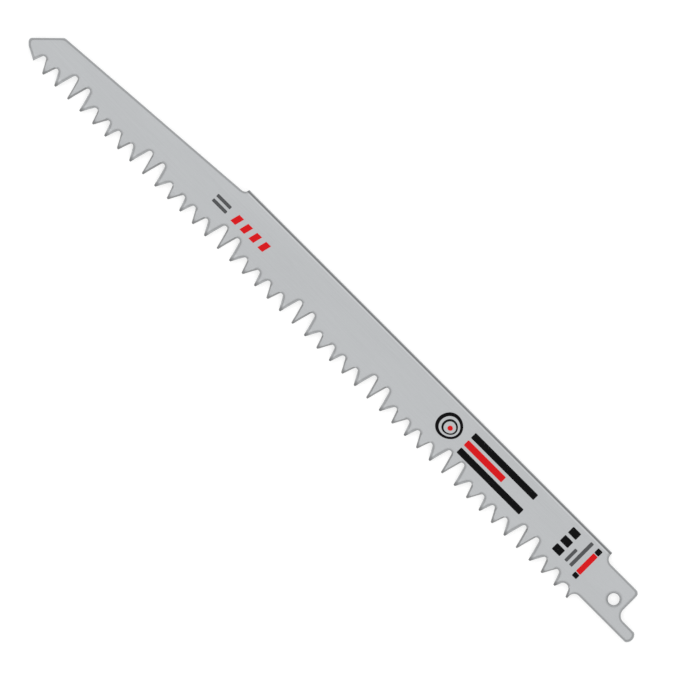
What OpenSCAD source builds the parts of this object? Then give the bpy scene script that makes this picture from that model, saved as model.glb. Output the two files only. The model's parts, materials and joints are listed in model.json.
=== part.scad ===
// Reciprocating saw blade for wood: one strip of steel with ground, set teeth, a tapered nose and a shank.
// X runs along the blade, with the nose at -X and the end of the shank at +X. Y runs across it, with the back
// at +Y and the teeth at -Y, and Z through its thickness. The origin is the middle of the hole in the shank,
// half way through the thickness, and heights are measured from the line through it along the blade.

/* [Strip] */
// Overall length, from the nose to the end of the shank
blade_l = 241.2; // [150:0.1:305]
// Thickness of the steel
blade_t = 1.5; // [1:0.05:2]
// Height of the back above the centre line
back_y = 9; // [8:0.1:12]
// Depth of the tooth points below the centre line
point_y = 9.2; // [9:0.1:11]
// Radius of the rolled corners along the back
back_r = 0.45; // [0.1:0.05:0.48]

/* [Nose] */
// Slope of the slanted end above the nose
nose_a = 44.5; // [35:0.5:60]
// Slope of the relief below the nose, up to the first tooth
relief_a = 27.5; // [20:0.5:35]
// Radius of the nose
nose_r = 1; // [0.6:0.1:1.3]
// Depth of the nose below the centre line
nose_y = 4.75; // [4:0.05:5]
// Slope of the short flat between the nose and the relief
flat_a = 45; // [35:1:60]
// Length of that flat
flat_l = 1.25; // [0.5:0.05:1.5]
// Height of the tapered back where it meets the slanted end
taper_y = 2.5; // [0:0.1:4]
// Radius of the corner between them
taper_r = 1.2; // [0.2:0.1:3]
// Distance from the hole to the step where the back reaches its full height
step_x = 155.1; // [100:0.1:180]
// Height of the step
step_h = 1.6; // [1.5:0.1:3]
// Radius of the run-out at the foot of the step
step_r = 1.5; // [0.5:0.1:1.5]

/* [Shank] */
// Width of the shank
shank_w = 12.7; // [10:0.1:13]
// Distance from the hole to the shoulder at the back
shoulder_x = 9.55; // [9:0.05:14]
// Radius in the corner of the shoulder
shoulder_r = 2; // [0.5:0.1:2.5]
// Distance from the hole to the end of the full width
shank_x = 4; // [3.6:0.1:6]
// Radius on the corner at that end
corner_r = 1.3; // [0.4:0.1:2]
// Distance from the hole to the end of the tail
tail_x = 11.82; // [9.5:0.02:14]
// Width of the tail
tail_w = 3.7; // [3:0.1:3.8]
// Radius of the end of the tail
tail_r = 2.2; // [1.9:0.05:4]
// Radius in the notch between shank and tail
notch_r = 2.4; // [0.5:0.1:3]
// Diameter of the hole
hole_d = 3.4; // [3:0.1:4.2]
// Width of the chamfers round the hole
hole_c = 0.35; // [0.1:0.05:0.4]

/* [Teeth] */
// Distance from one tooth point to the next
pitch = 5; // [4.6:0.1:6.4]
// Width of each tooth at its point
point_w = 0.44; // [0.2:0.02:0.6]
// Depth of the deep gullets
deep_h = 6.25; // [5:0.05:6.4]
// Slope of both sides of the deep gullets, from straight across the blade
deep_a = 15.5; // [12:0.5:16]
// Depth of the shallow gullets
shallow_h = 3.92; // [3:0.02:4]
// Slope of the steep side of the shallow gullets
steep_a = 20.5; // [15:0.5:22]
// Slope of their gentle side
gentle_a = 29.8; // [24:0.2:31]
// Angle at which the wheel grinds each gullet through the steel, to one side and then the other
fleam_a = 18; // [0:1:24]
// Distance that each tooth point is set to its side
set_z = 0.25; // [0:0.05:0.5]
// Height above the points of the line where the teeth bend
bend_h = 2.6; // [1.5:0.1:2.6]

/* [Heel] */
// Distance from the hole to the back of the last tooth
heel_x = 9.6; // [9:0.1:14]
// Radius behind the last tooth
heel_r = 1.9; // [1:0.1:2.4]
// Depth of the gullet in front of the last tooth
heel_h = 2.72; // [2.6:0.02:3.2]
// Slope of both sides of that gullet
heel_a = 25; // [15:1:30]

/* [Hidden] */
$fn = 64;

steel = [0.735, 0.742, 0.75];
over = 1;              // how far cuts run past the steel
proud = 1.005;         // rounds are this much fuller than ones that only touch the sides they join
shank_y = shank_w / 2;
bend_y = point_y - bend_h;
nose_c = [tail_x - blade_l + nose_r, -nose_y];
nose_up = nose_c + nose_r * [-sin(nose_a), cos(nose_a)];
nose_low = nose_c - nose_r * [sin(flat_a), cos(flat_a)];
flat_end = nose_low + flat_l * [cos(flat_a), -sin(flat_a)];
taper_x = nose_up.x + (taper_y - nose_up.y) / tan(nose_a);
step_foot = back_y - step_h;
taper_a = atan((step_foot - taper_y) / (-step_x - step_r - taper_x));
top_low = [taper_x, taper_y] - taper_r * tan((nose_a - taper_a) / 2) * [cos(nose_a), sin(nose_a)];
top_c = top_low + taper_r * [sin(nose_a), -cos(nose_a)];
top_high = top_c + taper_r * [-sin(taper_a), cos(taper_a)];
tail_top = tail_w - shank_y;

// The teeth run from the shank to the nose. Tooth 0 is the last one, at the shank.
nose_room = 4;         // least distance from the nose to the first tooth point
first_point = heel_x + point_w / 2;
gullets = floor((blade_l - tail_x - first_point - nose_room) / pitch);
function point_x(i) = -first_point - i * pitch;
function side(i) = i % 2 == 0 ? -1 : 1;

// Depth and the slopes of the nose side and the shank side of gullet g. Pairs of deep gullets stand between
// shallow ones, whose gentle sides face away from them.
function gullet(g) = let (c = (g - 1) % 6)
    g == 0 ? [heel_h, heel_a, heel_a]
    : c < 2 ? [shallow_h, gentle_a, steep_a]
    : c < 4 ? [deep_h, deep_a, deep_a]
    : [shallow_h, steep_a, gentle_a];

// What a square corner at p has outside a round of radius r. The square lies towards dir.
module corner(p, dir, r) {
    translate(p) difference() {
        translate([min(0, dir.x) * r, min(0, dir.y) * r]) square(r);
        translate(dir * r) circle(r);
    }
}

// Outline of the strip down to the line where the teeth bend
module outline() {
    difference() {
        union() {
            translate(nose_c) circle(nose_r);
            translate(top_c) circle(taper_r);
            polygon([
                nose_low, nose_up, top_low, top_high, [-step_x - step_r, step_foot],
                [-step_x, step_foot], [-step_x, back_y],
                [-shoulder_x, back_y], [-shoulder_x, shank_y], [shank_x, shank_y], [shank_x, tail_top],
                [tail_x, tail_top], [tail_x, -shank_y], [heel_r - heel_x, -shank_y],
                [heel_r - heel_x, -bend_y], [nose_low.x, -bend_y]
            ]);
            corner([-step_x, step_foot], [-1, 1], step_r);
            corner([-shoulder_x, shank_y], [1, 1], shoulder_r);
            corner([shank_x, tail_top], [1, 1], notch_r);
        }
        corner([shank_x, shank_y], [-1, -1], corner_r);
        difference() {
            translate([tail_x - tail_r, -shank_y - over]) square([tail_r + over, tail_w + 2 * over]);
            translate([tail_x - tail_r, -shank_y + tail_w / 2]) circle(tail_r);
        }
    }
}

// One tooth's length of the toothed edge, bent to its side
module tooth_blank(i) {
    ahead = i == gullets ? nose_low.x : point_x(i) - pitch / 2;
    behind = i == 0 ? heel_r - heel_x : point_x(i) + pitch / 2;
    z = side(i) * set_z;
    translate([ahead, 0, 0]) rotate([90, 0, 90]) linear_extrude(behind - ahead) polygon([
        [-bend_y, -blade_t / 2], [-bend_y, blade_t / 2],
        [-point_y, z + blade_t / 2], [-point_y, z - blade_t / 2]
    ]);
}

// Gullet g, ground straight through at the fleam angle. The profile is the one that shows from above, with its
// round bottom meeting both sides, and it is widened by what the slant hides.
module gullet_cut(g) {
    h = gullet(g)[0];
    a = tan(gullet(g)[1]) * cos(fleam_a);
    b = tan(gullet(g)[2]) * cos(fleam_a);
    long_a = sqrt(1 + a * a);
    long_b = sqrt(1 + b * b);
    w = (pitch - point_w) * cos(fleam_a);
    r = (w - h * (a + b)) / (long_a + long_b - a - b);
    wide = (blade_t + set_z) / 2 * sin(fleam_a);
    y = h - r;
    x = y * a + r * long_a - w / 2;
    translate([point_x(g) - pitch / 2, -point_y, 0]) rotate([0, -side(g) * fleam_a, 0])
        linear_extrude(2 * (blade_t + set_z) + over, center = true) {
            polygon([
                [-w / 2 - wide - over * a, -over],
                [x - wide - r / long_a, y + r * a / long_a],
                [x - wide, h], [x + wide, h],
                [x + wide + r / long_b, y + r * b / long_b],
                [w / 2 + wide + over * b, -over]
            ]);
            translate([x - wide, y]) circle(r * proud);
            translate([x + wide, y]) circle(r * proud);
        }
}

// What the relief below the nose takes off
module relief_cut() {
    run = 2 * (point_y - nose_y) / tan(relief_a);
    linear_extrude(3 * blade_t, center = true) polygon([
        nose_low, flat_end, flat_end + run * [1, -tan(relief_a)],
        [nose_low.x - nose_r, flat_end.y - run * tan(relief_a)], [nose_low.x - nose_r, nose_low.y]
    ]);
}

// Round behind the last tooth, up to the lower edge of the shank
module heel_cut() {
    linear_extrude(3 * blade_t, center = true) translate([heel_r - heel_x, -shank_y - heel_r]) {
        circle(heel_r);
        translate([-heel_r, -point_y]) square([heel_r + over, point_y]);
    }
}

// Bore of the hole with a chamfer at each face
module hole_cut() {
    cylinder(h = blade_t + 2 * over, d = hole_d, center = true);
    for (s = [0, 180]) rotate([s, 0, 0]) translate([0, 0, blade_t / 2 - hole_c])
        cylinder(h = 2 * hole_c, d1 = hole_d, d2 = hole_d + 4 * hole_c);
}

// Rolled corner along the back, at one face
module back_cut() {
    translate([-step_x - over, 0, 0]) rotate([90, 0, 90])
        linear_extrude(step_x - shoulder_x + 2 * over) corner([back_y, blade_t / 2], [-1, -1], back_r);
}

// The whole blade is one piece
module blade() {
    color(steel) difference() {
        union() {
            linear_extrude(blade_t, center = true) outline();
            for (i = [0 : gullets]) tooth_blank(i);
        }
        for (g = [0 : gullets - 1]) gullet_cut(g);
        relief_cut();
        heel_cut();
        hole_cut();
        back_cut();
        mirror([0, 0, 1]) back_cut();
    }
}

blade();
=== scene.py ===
import json
import math

import bmesh
import bpy
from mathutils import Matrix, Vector


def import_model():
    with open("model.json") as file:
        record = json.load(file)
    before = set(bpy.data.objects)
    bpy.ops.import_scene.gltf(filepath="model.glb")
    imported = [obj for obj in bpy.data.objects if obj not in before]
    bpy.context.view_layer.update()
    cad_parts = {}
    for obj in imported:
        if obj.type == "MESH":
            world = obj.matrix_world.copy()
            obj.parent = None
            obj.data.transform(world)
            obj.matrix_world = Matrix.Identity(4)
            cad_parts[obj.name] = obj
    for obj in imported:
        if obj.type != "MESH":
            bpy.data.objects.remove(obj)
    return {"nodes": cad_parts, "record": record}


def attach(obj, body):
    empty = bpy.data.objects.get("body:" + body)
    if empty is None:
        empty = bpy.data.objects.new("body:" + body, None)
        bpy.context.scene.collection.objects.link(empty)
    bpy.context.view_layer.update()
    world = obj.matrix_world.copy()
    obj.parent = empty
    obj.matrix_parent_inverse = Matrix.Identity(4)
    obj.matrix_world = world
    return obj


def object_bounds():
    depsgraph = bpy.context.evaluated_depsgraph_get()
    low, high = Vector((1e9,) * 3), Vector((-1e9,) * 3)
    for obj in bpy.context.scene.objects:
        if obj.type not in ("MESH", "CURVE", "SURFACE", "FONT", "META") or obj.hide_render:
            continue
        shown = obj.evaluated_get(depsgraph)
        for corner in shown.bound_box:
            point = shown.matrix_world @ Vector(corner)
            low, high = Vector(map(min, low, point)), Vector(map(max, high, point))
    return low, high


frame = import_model()
cad_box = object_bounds()
middle = (cad_box[0] + cad_box[1]) / 2
mounts = {mount["name"]: mount for mount in frame["record"]["mounts"]}
face_z = mounts["shank_face"]["pos_m"][2]

# Places and lengths are in millimetres in the frame of the blade: X along it from the hole in the shank,
# and Y across it towards the back. Only the table and the lamps are in metres.
MM = 0.001

# The photograph
VIEW_CENTRE = (-102.82, -2.92)  # the point of the blade's plane in the middle of the picture
VIEW_WIDTH = 198.4              # what the picture's width covers
VIEW_TURN = math.radians(45)    # how far the blade's length is turned in the picture
LENS = 300
SENSOR = 36

# The steel
FACE = (0.482, 0.494, 0.505)
# painted shade beside the edges; the grain's streaks also lean towards this colour
RIM_SHADE_AND_STREAK = (0.285, 0.291, 0.297)
CUT = (0.330, 0.336, 0.342)
# grinding burn in the marks on the cuts, and painted shade for the back's line and the tooth tips
BURN_AND_SHADE = (0.170, 0.173, 0.176)
# a painted highlight beside the back's dark line
PAINTED_HIGHLIGHT = (0.560, 0.573, 0.585)
FACE_GRAIN = (9, 0.09)          # length and width of the streaks that rolling left
CLOUDS = (55, 12)               # length and width of the faint clouds in the face
CUT_GRAIN = (3, 0.07)           # length and width of the marks that grinding left on the cuts
GRAIN_CONTRAST = (0.3, 0.7)     # values of the noise between which a streak sets in
CLOUDING = 0.015                # how much lighter or darker than FACE a cloud is
GRAIN_SHARE = 0.12              # how far the grain turns the face towards RIM_SHADE_AND_STREAK
MARK_SHARE = 0.7                # how far the grinding marks turn the cuts towards BURN_AND_SHADE
STEEL_ROUGHNESS = (0.36, 0.50)
STEEL_RELIEF = 0.004            # depth of the grain and of the grinding marks
STEEL_BUMP = 0.5                # how much of that depth shows
SOFT_EDGE = 0.08                # radius that the sharp edges seem to have in the light
WALL = (0.7, 0.3)               # how level the steel is where a face ends, and where it is all cut
BACK_SHADE = (0.22, 0.72)        # distances from the back between which the dark line of painted shade lies
PAINTED_GLINT = (0.88, 1.12)            # distances from the back between which the painted highlight lies
LINE_SOFTNESS = 0.07            # how far the edges of both lines fade to each side
TIP_SHADE = (-7.4, -9.0)              # places across the blade between which the tooth tips turn dark in painted shade

# The dark rim of the faces is painted shade beside the edges. A rounded normal finds it, which leans by 0
# on a flat face and by 0.29 on a square edge.
RIM_ROUNDING = 2.04             # radius of the rounding, about three times the width of the rim
RIM_RISE = (0.02, 0.09)         # leans between which the rim sets in
RIM_FALL = (0.17, 0.25)         # leans between which it turns paler again, on the edge itself
RIM_LEFT = 0.4                  # how much of it is left there

# The teeth, as the blade has them
PITCH = 5                       # from one tooth point to the next
TEETH = 44
LAST_POINT = -9.82              # the tooth point nearest to the shank
TOOTH_ROOT = -2.5               # above the deepest gullet
BEVELLED = (0.4, 0.65)          # a wave peaks at every other point, and a bevel sets in at these heights

# The inks
RED = (0.73, 0.009, 0.012)
BLACK = (0.002, 0.002, 0.0025)
GREY = (0.095, 0.098, 0.102)
INK_KEPT = 0.9                  # how much of its colour the ink keeps over the streaks of the grain
INK_HAZE = 0.004                # how much paler it is there
INK_SHINE = 0.04                # specular level: the ink is matt
INK_ROUGHNESS = (0.38, 0.55)
INK_RELIEF = 0.003              # depth of the grain that still shows in the ink
INK_BUMP = 0.4                  # how much of that depth shows
INK_THICKNESS = 0.02
PINHOLE = 0.25                  # size of the spots that the ink missed
PINHOLE_SHARE = 0.27            # how far below its top the noise still counts as such a spot
PINHOLE_EDGE = 0.06             # rise of the noise over which a spot sets in

# The printing
CORNER = 0.25                   # radius at the corners of a bar
ARC_STEPS = 6                   # straight steps in a quarter circle
DASHES = 4
DASH_LEAN = 0.25                # how far a dash leans, for each millimetre of its height
LOG = (-67.7, 1.8)              # middle of the log's end
LOG_RINGS = (3.9, 3.0, 2.3, 1.75)  # radii of the edges of its two dark rings
LOG_HEART = 0.75                # radius of its heart
LOG_DRIFT = 0.2                 # how far a ring lies to one side, for each millimetre that it is smaller
RING_WAVES = ((2, 0.03, 0.6), (3, 0.02, 1.9))  # number of waves, their share of the radius, their turn
RING_STEPS = 48                 # straight steps round a ring

# The table and the light, in metres and watts
TABLE_SIZE = 6
TABLE_GREY = (0.53, 0.55)
TABLE_GRAIN = 30                # how many clouds of its paint lie in a metre
TABLE_LIFT = 0.60               # what the table adds for the camera and in reflections, to show as white
SKY = (0.80, 1.0)               # strength of the sky as a lamp, and for the camera and in reflections
WHITE = (1, 1, 1)
KEY_LAMP = {"place": (-0.4, 0.7, 0.9), "size": 0.9, "power": 2.3}
FILL_LAMP = {"place": (0.45, -0.7, 0.8), "size": 0.9, "power": 1.8}


def put(tree, kind, inputs=None, **settings):
    """Adds a shader node. Each input is a plain value, or another node's output to link."""
    made = tree.nodes.new("ShaderNode" + kind)
    for name, value in settings.items():
        setattr(made, name, value)
    for key, value in (inputs or {}).items():
        socket = made.inputs[key]
        if isinstance(value, bpy.types.NodeSocket):
            tree.links.new(value, socket)
        elif socket.type == "RGBA":
            socket.default_value = (*value, 1)
        else:
            socket.default_value = value
    return made


def math_of(tree, operation, *values):
    return put(tree, "Math", dict(enumerate(values)), operation=operation).outputs[0]


def ramp(tree, value, low, high):
    """0 up to low and 1 from high on, with a soft change between them. low may be the larger one."""
    ends = {"Value": value, "From Min": low, "From Max": high}
    return put(tree, "MapRange", ends, interpolation_type="SMOOTHSTEP").outputs["Result"]


def band(tree, distance, ends):
    """1 where distance lies between the two ends, and 0 outside them."""
    low, high = (end * MM for end in ends)
    soft = LINE_SOFTNESS * MM
    rise = ramp(tree, distance, low - soft, low + soft)
    return math_of(tree, "MULTIPLY", rise, ramp(tree, distance, high + soft, high - soft))


def between(tree, share, ends):
    """The first of the two ends where share is 0, and the second where it is 1."""
    mapped = {"Value": share, "To Min": ends[0], "To Max": ends[1]}
    return put(tree, "MapRange", mapped).outputs["Result"]


def blended(tree, share, first, second):
    """The colour first where share is 0, and second where it is 1."""
    return put(tree, "Mix", {0: share, 6: first, 7: second}, data_type="RGBA").outputs[2]


def new_group(name, inputs, outputs):
    """An empty node group. Inputs are given as (name, type, value), and outputs as (name, type)."""
    tree = bpy.data.node_groups.new(name, "ShaderNodeTree")
    for label, kind, value in inputs:
        made = tree.interface.new_socket(label, in_out="INPUT", socket_type="NodeSocket" + kind)
        made.default_value = value
    for label, kind in outputs:
        tree.interface.new_socket(label, in_out="OUTPUT", socket_type="NodeSocket" + kind)
    return tree, tree.nodes.new("NodeGroupInput").outputs, tree.nodes.new("NodeGroupOutput").inputs


def grain_group():
    """Streaks that run along X, as rolling or grinding leaves them."""
    inputs = [("Place", "Vector", (0, 0, 0)), ("Length", "Float", 0.01), ("Width", "Float", 0.001)]
    tree, given, made = new_group("grain", inputs, [("Grain", "Float")])
    parts = put(tree, "SeparateXYZ", {0: given["Place"]}).outputs
    sizes = (given["Length"], given["Width"], given["Width"])
    steps = [math_of(tree, "DIVIDE", part, size) for part, size in zip(parts, sizes)]
    at = put(tree, "CombineXYZ", dict(enumerate(steps))).outputs[0]
    noise = put(tree, "TexNoise", {"Vector": at, "Scale": 1.0, "Detail": 3.0, "Roughness": 0.6})
    tree.links.new(ramp(tree, noise.outputs["Fac"], *GRAIN_CONTRAST), made["Grain"])
    return tree


def streaks(tree, grain, place, size):
    """The grain at the place given, with streaks of the length and width in size."""
    length, width = size
    inputs = {"Place": place, "Length": length * MM, "Width": width * MM}
    return put(tree, "Group", inputs, node_tree=grain).outputs["Grain"]


def pinhole_group():
    """Small round spots where a print shows the steel under it."""
    inputs = [("Place", "Vector", (0, 0, 0)), ("Size", "Float", 0.0002), ("Share", "Float", 0.1)]
    tree, given, made = new_group("pinholes", inputs, [("Holes", "Float")])
    scale = math_of(tree, "DIVIDE", 1.0, given["Size"])
    noise = put(tree, "TexNoise", {"Vector": given["Place"], "Scale": scale, "Detail": 2.0})
    edge = math_of(tree, "SUBTRACT", 1.0, given["Share"])
    above = math_of(tree, "SUBTRACT", noise.outputs["Fac"], edge)
    tree.links.new(ramp(tree, above, 0.0, PINHOLE_EDGE), made["Holes"])
    return tree


def new_material(name):
    material = bpy.data.materials.new(name)
    material.use_nodes = True
    material.node_tree.nodes.clear()
    return material, material.node_tree


def beside_edges(tree):
    """The strip of a face beside a sharp edge, where shade is painted. It is fainter on the edge itself.
    """
    rounded = put(tree, "Bevel", {"Radius": RIM_ROUNDING * MM}, samples=16).outputs[0]
    flat = put(tree, "NewGeometry").outputs["True Normal"]
    turn = put(tree, "VectorMath", {0: rounded, 1: flat}, operation="DOT_PRODUCT").outputs["Value"]
    lean = math_of(tree, "SUBTRACT", 1.0, turn)
    kept = between(tree, ramp(tree, lean, *RIM_FALL), (1.0, RIM_LEFT))
    return math_of(tree, "MULTIPLY", ramp(tree, lean, *RIM_RISE), kept)


def clean_bevel(tree, x, y, facing_up):
    """The faces of the teeth that the wheel bevelled on this side. They get no painted shade at the rim.
    """
    turn = math_of(tree, "MULTIPLY_ADD", x, math.pi / (PITCH * MM), -math.pi * LAST_POINT / PITCH)
    wave = math_of(tree, "COSINE", turn)
    bevelled = ramp(tree, math_of(tree, "MULTIPLY", wave, facing_up), *BEVELLED)
    low = math_of(tree, "LESS_THAN", y, TOOTH_ROOT * MM)
    half_row = (TEETH - 1) * PITCH * MM / 2
    along = math_of(tree, "COMPARE", x, LAST_POINT * MM - half_row, half_row)
    return math_of(tree, "MULTIPLY", bevelled, math_of(tree, "MULTIPLY", low, along))


def blade_steel(grain):
    """Satin rolled steel: fine grain on the faces, ground marks on cuts, painted shade and highlight at
    the edges.
    """
    material, tree = new_material("blade steel")
    here = put(tree, "TexCoord").outputs
    place = here["Object"]
    x, y, z = put(tree, "SeparateXYZ", {0: place}).outputs
    facing_up = put(tree, "SeparateXYZ", {0: here["Normal"]}).outputs[2]
    through = put(tree, "CombineXYZ", {0: z, 1: x, 2: y}).outputs[0]
    fine = streaks(tree, grain, place, FACE_GRAIN)
    cloud = streaks(tree, grain, place, CLOUDS)
    ground = streaks(tree, grain, through, CUT_GRAIN)

    wall = ramp(tree, math_of(tree, "ABSOLUTE", facing_up), *WALL)
    from_back = math_of(tree, "SUBTRACT", cad_box[1].y, y)
    # a line of painted shade along the rounded back
    line = band(tree, from_back, BACK_SHADE)
    # a painted highlight beside it
    painted_glint = band(tree, from_back, PAINTED_GLINT)
    # painted shade at the tooth tips
    tip_shade = ramp(tree, y, TIP_SHADE[0] * MM, TIP_SHADE[1] * MM)
    # painted shade beside the edges, left off the bevelled faces of the teeth
    rimmed = math_of(tree, "SUBTRACT", 1.0, clean_bevel(tree, x, y, facing_up))
    rim = math_of(tree, "MULTIPLY", beside_edges(tree), rimmed)

    light = tuple((1 + CLOUDING) * c for c in FACE)
    dark = tuple((1 - CLOUDING) * c for c in FACE)
    face = blended(tree, cloud, light, dark)
    face = blended(tree, math_of(tree, "MULTIPLY", fine, GRAIN_SHARE), face, RIM_SHADE_AND_STREAK)
    # painted highlight beside the back's line
    face = blended(tree, painted_glint, face, PAINTED_HIGHLIGHT)
    # painted shade beside the edges
    face = blended(tree, rim, face, RIM_SHADE_AND_STREAK)
    cut = blended(tree, math_of(tree, "MULTIPLY", ground, MARK_SHARE), CUT, BURN_AND_SHADE)
    colour = blended(tree, wall, face, cut)
    # the back's line and the tooth tips in painted shade
    colour = blended(tree, math_of(tree, "MAXIMUM", line, tip_shade), colour, BURN_AND_SHADE)

    marks = put(tree, "Mix", {0: wall, 2: fine, 3: ground}, data_type="FLOAT").outputs[0]
    rough = between(tree, marks, STEEL_ROUGHNESS)
    soft = put(tree, "Bevel", {"Radius": SOFT_EDGE * MM}, samples=8).outputs[0]
    bump = put(tree, "Bump", {
        "Height": marks, "Strength": STEEL_BUMP, "Distance": STEEL_RELIEF * MM, "Normal": soft,
    })
    shader = put(tree, "BsdfPrincipled", {
        "Base Color": colour, "Metallic": 1.0, "Roughness": rough, "Normal": bump.outputs[0],
    })
    put(tree, "OutputMaterial", {"Surface": shader.outputs[0]})
    return material


def ink(name, colour, grain, pinholes):
    """Printed ink: thin enough for the grain of the steel to show, with a few pinholes."""
    material, tree = new_material(name)
    place = put(tree, "TexCoord").outputs["Object"]
    fine = streaks(tree, grain, place, FACE_GRAIN)
    spots = {"Place": place, "Size": PINHOLE * MM, "Share": PINHOLE_SHARE}
    holes = put(tree, "Group", spots, node_tree=pinholes).outputs["Holes"]
    thin = tuple(INK_KEPT * c + INK_HAZE for c in colour)
    shown = blended(tree, fine, colour, thin)
    shown = blended(tree, holes, shown, FACE)
    rough = between(tree, fine, INK_ROUGHNESS)
    bump = put(tree, "Bump", {"Height": fine, "Strength": INK_BUMP, "Distance": INK_RELIEF * MM})
    shader = put(tree, "BsdfPrincipled", {
        "Base Color": shown, "Roughness": rough, "Normal": bump.outputs[0],
        "Specular IOR Level": INK_SHINE,
    })
    put(tree, "OutputMaterial", {"Surface": shader.outputs[0]})
    return material


def bar(x0, x1, y0, y1):
    """Outline of a printed bar with rounded corners."""
    r = min(CORNER, (x1 - x0) / 2, (y1 - y0) / 2)
    centres = [(x1 - r, y1 - r), (x0 + r, y1 - r), (x0 + r, y0 + r), (x1 - r, y0 + r)]
    points = []
    for turn, (x, y) in enumerate(centres):
        for step in range(ARC_STEPS + 1):
            a = (turn + step / ARC_STEPS) * math.pi / 2
            points.append((x + r * math.cos(a), y + r * math.sin(a)))
    return points


def dash(x, width, y0, y1):
    """Outline of a slanted dash."""
    lean = DASH_LEAN * (y1 - y0)
    return [(x, y0), (x + width, y0), (x + width + lean, y1), (x + lean, y1)]


def growth_ring(r):
    """Outline of a ring in the printed log's end. Smaller rings lie further to one side, as in a log."""
    drift = LOG_DRIFT * (LOG_RINGS[0] - r)
    x, y = LOG[0] + drift, LOG[1] - drift / 2
    points = []
    for i in range(RING_STEPS):
        a = 2 * math.pi * i / RING_STEPS
        wavy = r * (1 + sum(share * math.sin(count * a + turn) for count, share, turn in RING_WAVES))
        points.append((x + wavy * math.cos(a), y + wavy * math.sin(a)))
    return points


def print_on_face(name, outlines, material):
    """A skin of ink on the face. An outline inside another one is a gap in it."""
    mesh = bpy.data.meshes.new(name)
    made = bmesh.new()
    for outline in outlines:
        corners = [made.verts.new((x * MM, y * MM, face_z)) for x, y in outline]
        for i, corner in enumerate(corners):
            made.edges.new((corners[i - 1], corner))
    bmesh.ops.triangle_fill(made, edges=made.edges[:], use_beauty=True)
    extruded = bmesh.ops.extrude_face_region(made, geom=made.faces[:])["geom"]
    raised = [part for part in extruded if isinstance(part, bmesh.types.BMVert)]
    bmesh.ops.translate(made, verts=raised, vec=(0, 0, INK_THICKNESS * MM))
    bmesh.ops.recalc_face_normals(made, faces=made.faces[:])
    made.to_mesh(mesh)
    made.free()
    mesh.materials.append(material)
    piece = bpy.data.objects.new(name, mesh)
    bpy.context.scene.collection.objects.link(piece)
    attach(piece, "root")


def marks_behind_the_step(red, grey):
    """Two short lines, and a row of slanted dashes."""
    left, length, height = -160.5, 5.4, 1.0
    lines = [bar(left, left + length, bottom, bottom + height) for bottom in (1.1, -0.7)]
    print_on_face("small_lines", lines, grey)
    left, step, width, bottom, top = -152.8, 3.6, 1.9, -0.9, 2.0
    dashes = [dash(left + step * i, width, bottom, top) for i in range(DASHES)]
    print_on_face("red_dashes", dashes, red)


def log_and_planks(red, black):
    """A log's end, and the three planks sawn from it."""
    print_on_face("log_rings", [growth_ring(r) for r in LOG_RINGS], black)
    print_on_face("log_heart", [growth_ring(LOG_HEART)], red)
    left, long, short, height = -61, 25, 15, 2.0
    outer = [bar(left, left + long, bottom, bottom + height) for bottom in (3.7, -2.1)]
    print_on_face("black_planks", outer, black)
    bottom = 0.8
    print_on_face("red_plank", [bar(left, left + short, bottom, bottom + height)], red)


def marks_before_the_shank(red, black, grey):
    """Rows across the blade: three blocks, two thin lines, and a red line with black ends."""
    left, right, height = -22.6, -19.5, 2.3
    blocks = [bar(left, right, bottom, bottom + height) for bottom in (-2.3, 0.95, 4.2)]
    print_on_face("heavy_blocks", blocks, black)
    bottom, low_top, high_top = -2, 2.5, 7
    lines = [bar(-17.9, -16.9, bottom, low_top), bar(-16, -14.9, bottom, high_top)]
    print_on_face("fine_lines", lines, grey)
    left, right = -13.3, -11.6
    ends = [bar(left, right, 5.4, 7.2), bar(left, right, -3.6, -2.1)]
    print_on_face("end_line_black", ends, black)
    print_on_face("end_line_red", [bar(left, right, -1.9, 5.2)], red)


def seen_directly(tree):
    """1 for what the camera or a reflection shows, and 0 for the light that falls on things."""
    path = put(tree, "LightPath").outputs
    return math_of(tree, "MAXIMUM", path["Is Camera Ray"], path["Is Glossy Ray"])


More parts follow.
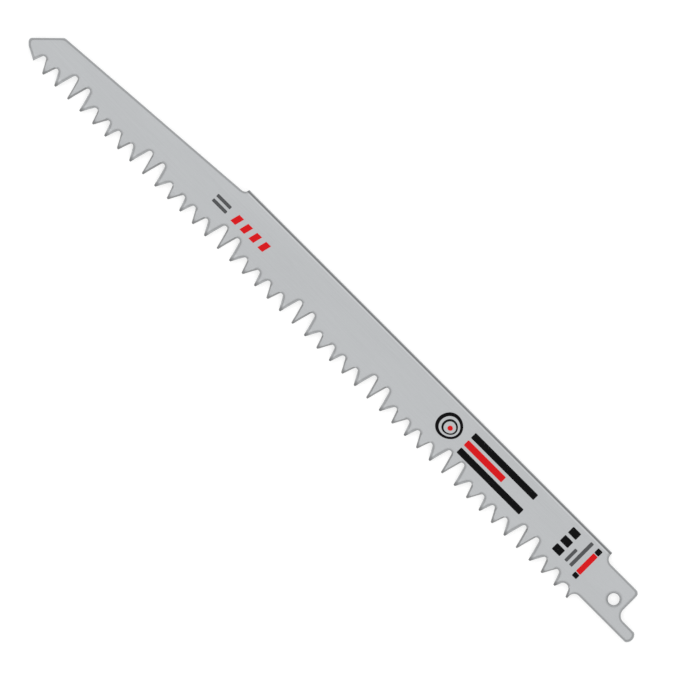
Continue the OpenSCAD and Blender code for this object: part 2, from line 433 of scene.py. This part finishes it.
def table():
    """A pale table for the blade to lie on. It shows as white, and keeps the blade's soft shadow."""
    material, tree = new_material("white table")
    place = put(tree, "TexCoord").outputs["Object"]
    noise = put(tree, "TexNoise", {"Vector": place, "Scale": TABLE_GRAIN, "Detail": 4.0}).outputs["Fac"]
    dark, light = ((grey, grey, grey) for grey in TABLE_GREY)
    paint = put(tree, "BsdfDiffuse", {"Color": blended(tree, noise, dark, light)})
    lift = put(tree, "Emission", {"Strength": math_of(tree, "MULTIPLY", seen_directly(tree), TABLE_LIFT)})
    both = put(tree, "AddShader", {0: paint.outputs[0], 1: lift.outputs[0]})
    put(tree, "OutputMaterial", {"Surface": both.outputs[0]})
    bpy.ops.mesh.primitive_plane_add(size=TABLE_SIZE, location=(0, 0, cad_box[0].z))
    floor = bpy.context.object
    floor.name = "white_table"
    floor.data.materials.append(material)


def world():
    made = bpy.data.worlds.new("studio")
    bpy.context.scene.world = made
    made.use_nodes = True
    tree = made.node_tree
    tree.nodes.clear()
    strength = between(tree, seen_directly(tree), SKY)
    sky = put(tree, "Background", {"Color": WHITE, "Strength": strength})
    put(tree, "OutputWorld", {"Surface": sky.outputs[0]})


def lamp(name, place, size, power):
    """A soft square lamp that looks at the middle of the blade."""
    light = bpy.data.lights.new(name, "AREA")
    light.size = size
    light.energy = power
    made = bpy.data.objects.new(name, light)
    bpy.context.scene.collection.objects.link(made)
    made.location = place
    made.rotation_euler = (middle - Vector(place)).to_track_quat("-Z", "Y").to_euler()


def camera():
    """Looks straight down on the face, with the blade's length on the slant of the picture."""
    data = bpy.data.cameras.new("camera")
    data.lens = LENS
    data.sensor_width = SENSOR
    made = bpy.data.objects.new("camera", data)
    bpy.context.scene.collection.objects.link(made)
    away = VIEW_WIDTH * MM * LENS / SENSOR
    made.location = (VIEW_CENTRE[0] * MM, VIEW_CENTRE[1] * MM, face_z + away)
    made.rotation_euler = (0, 0, VIEW_TURN)
    bpy.context.scene.camera = made


grain, pinholes = grain_group(), pinhole_group()
blade = frame["nodes"]["blade"]
blade.data.materials.clear()
blade.data.materials.append(blade_steel(grain))
red_ink = ink("red ink", RED, grain, pinholes)
black_ink = ink("black ink", BLACK, grain, pinholes)
grey_ink = ink("grey ink", GREY, grain, pinholes)
marks_behind_the_step(red_ink, grey_ink)
log_and_planks(red_ink, black_ink)
marks_before_the_shank(red_ink, black_ink, grey_ink)
table()
world()
lamp("key lamp", **KEY_LAMP)
lamp("fill lamp", **FILL_LAMP)
camera()

bpy.context.scene.view_settings.view_transform = "Standard"
